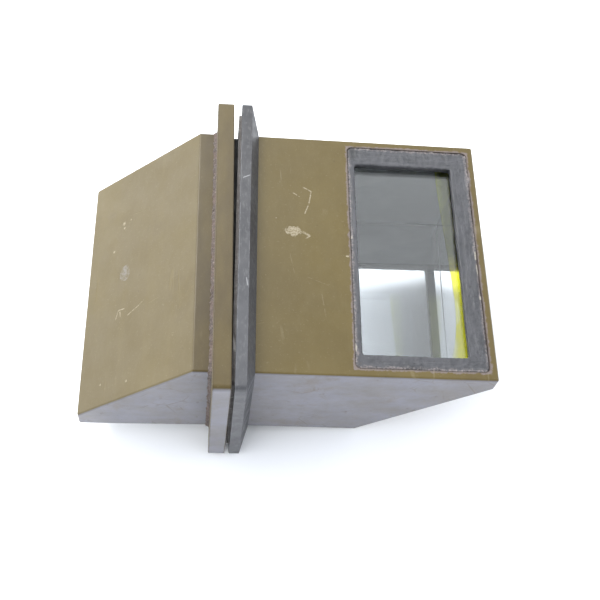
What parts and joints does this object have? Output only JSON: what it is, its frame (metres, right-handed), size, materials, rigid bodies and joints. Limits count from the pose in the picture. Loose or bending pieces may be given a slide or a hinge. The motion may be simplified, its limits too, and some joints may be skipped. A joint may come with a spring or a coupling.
{
  "type": "rhomboid prism periscope",
  "caption": "Flanged rhomboid prism periscope: two glass prism units in olive casings that plug together, with offset windows facing opposite ways.",
  "frame": {"origin": "centre of the bounding box's footprint, level with the lower edge of the flanges", "axes": "+X along the optical tunnel from the eyepiece unit to the head unit, +Y across the windows, +Z the way the head window faces"},
  "size_m": [0.2376, 0.1899, 0.1029],
  "materials": {
    "olive_paint": "worn satin olive drab enamel on cast aluminium",
    "flange_rubber": "dark grey moulded rubber, scuffed",
    "gasket_rubber": "dark grey-brown flat gasket",
    "black_rubber": "black rubber sleeve",
    "cushion_rubber": "black cushion rubber",
    "seam_sealant": "rough brown-pink sealant",
    "window_putty": "dark grey hand-laid putty, crumbling at its edges",
    "optical_glass": "polished block with silvered 45 degree face and ground sides",
    "window_glass": "polished plate",
    "stained_cement": "transparent yellowed optical cement",
    "backing_plate": "plain sheet"
  },
  "bodies": {
    "eyepiece_unit": {"eyepiece_casing": "olive_paint", "mounting_flange": "olive_paint", "eyepiece_seam_bead": "seam_sealant", "spigot_sleeve": "black_rubber", "eyepiece_prism": "optical_glass", "eyepiece_mirror_backing": "backing_plate", "eyepiece_mirror_pad": "cushion_rubber", "eyepiece_tip_pad": "cushion_rubber", "eyepiece_throat_packing": "cushion_rubber", "eyepiece_cushion_front": "cushion_rubber", "eyepiece_cushion_back": "cushion_rubber", "eyepiece_window_plate": "window_glass", "eyepiece_window_seal": "window_putty"},
    "head_unit": {"head_casing": "olive_paint", "head_flange": "flange_rubber", "joint_gasket": "gasket_rubber", "head_prism": "optical_glass", "head_mirror_backing": "backing_plate", "head_mirror_pad": "cushion_rubber", "head_tip_pad": "cushion_rubber", "head_throat_packing": "cushion_rubber", "head_cushion_front": "cushion_rubber", "head_cushion_back": "cushion_rubber", "head_window_plate": "window_glass", "head_window_seal": "window_putty", "head_cement_film": "stained_cement"}
  },
  "joints": [
    {"name": "head_pull", "type": "slide", "parent": "eyepiece_unit", "child": "head_unit", "axis": [1, 0, 0], "range_m": [0, 0.03]}
  ]
}
